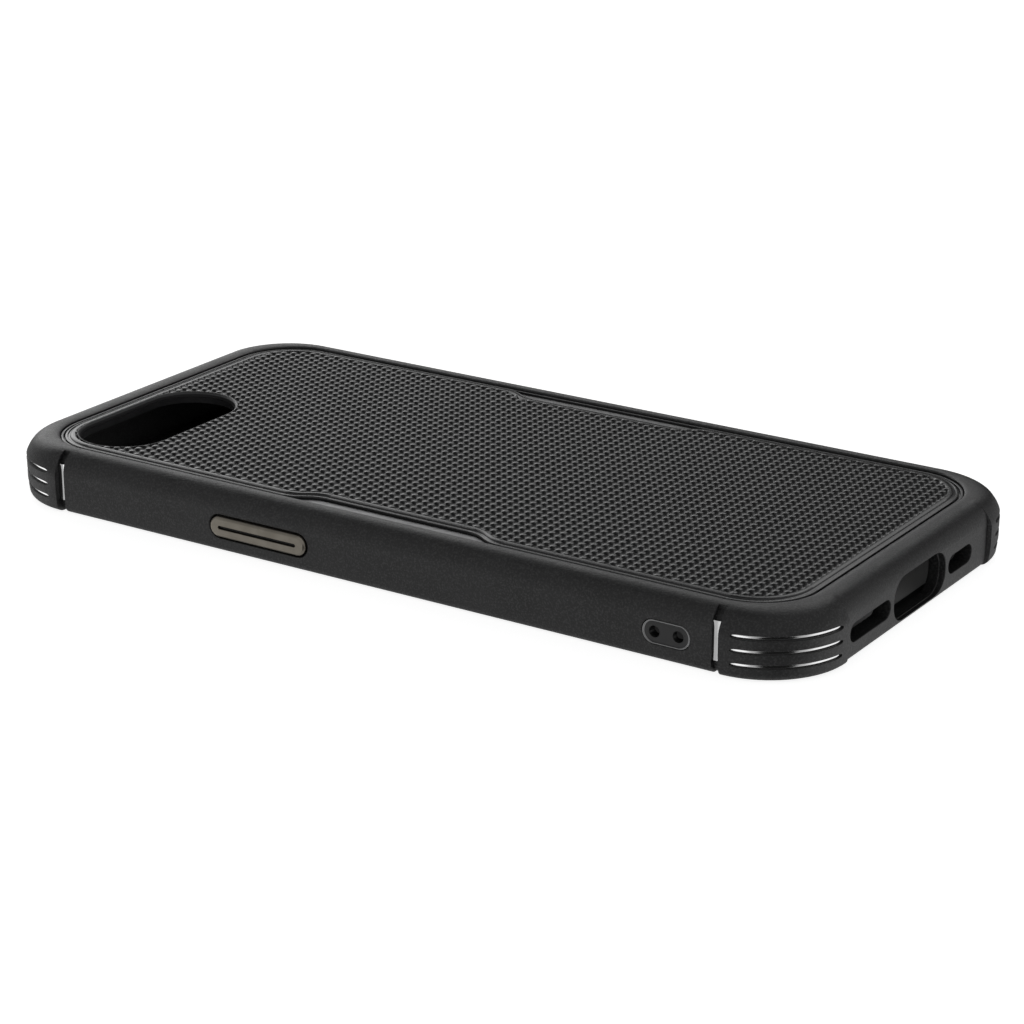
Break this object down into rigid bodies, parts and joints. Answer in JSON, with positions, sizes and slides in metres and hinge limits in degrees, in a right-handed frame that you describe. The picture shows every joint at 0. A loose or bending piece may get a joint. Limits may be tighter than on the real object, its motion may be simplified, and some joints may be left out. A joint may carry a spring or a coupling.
{
  "type": "phone case",
  "caption": "Rugged layered phone case with a soft bumper, a knurled hard back, sprung button covers and a camera window.",
  "frame": {"origin": "on the resting plane, under the middle of the case, which lies on its front lip", "axes": "+Z out of the back, +Y towards the camera end, +X to the right seen from the back"},
  "size_m": [0.0762, 0.1534, 0.0105],
  "materials": {
    "soft_frame": "fine-grained matt soft plastic, almost black",
    "hard_shell": "satin black hard plastic",
    "knurled_plate": "moulded small pyramids, satin dark grey",
    "bezel": "smooth satin dark grey",
    "brushed_strip": "brushed mid grey, fine lines along the strip",
    "gloss_insert": "piano black",
    "button_metal": "satin anodised warm grey with a bevelled rim",
    "button_rubber": "matt black rubber",
    "strap_anchor": "satin dark grey with a thin bright edge"
  },
  "bodies": {
    "case_body": {"bumper_frame": "soft_frame", "inner_shell": "hard_shell", "back_plate": "knurled_plate", "camera_bezel": "bezel", "grip_strip_left": "brushed_strip", "grip_strip_right": "brushed_strip", "strap_anchor": "strap_anchor", "corner_insert_camera_left": "gloss_insert", "corner_insert_camera_right": "gloss_insert", "corner_insert_port_left": "gloss_insert", "corner_insert_port_right": "gloss_insert"},
    "power_button": {"power_button_cap": "button_metal", "power_button_plunger": "button_rubber"},
    "action_button": {"action_button_cap": "button_metal", "action_button_plunger": "button_rubber"},
    "volume_up": {"volume_up_cap": "button_metal", "volume_up_plunger": "button_rubber"},
    "volume_down": {"volume_down_cap": "button_metal", "volume_down_plunger": "button_rubber"}
  },
  "joints": [
    {"name": "power_button_press", "type": "slide", "parent": "case_body", "child": "power_button", "axis": [1, 0, 0], "range_m": [0, 0.00035], "stiffness_N_per_m": 6000},
    {"name": "action_button_press", "type": "slide", "parent": "case_body", "child": "action_button", "axis": [-1, 0, 0], "range_m": [0, 0.00035], "stiffness_N_per_m": 6000},
    {"name": "volume_up_press", "type": "slide", "parent": "case_body", "child": "volume_up", "axis": [-1, 0, 0], "range_m": [0, 0.00035], "stiffness_N_per_m": 6000},
    {"name": "volume_down_press", "type": "slide", "parent": "case_body", "child": "volume_down", "axis": [-1, 0, 0], "range_m": [0, 0.00035], "stiffness_N_per_m": 6000}
  ]
}
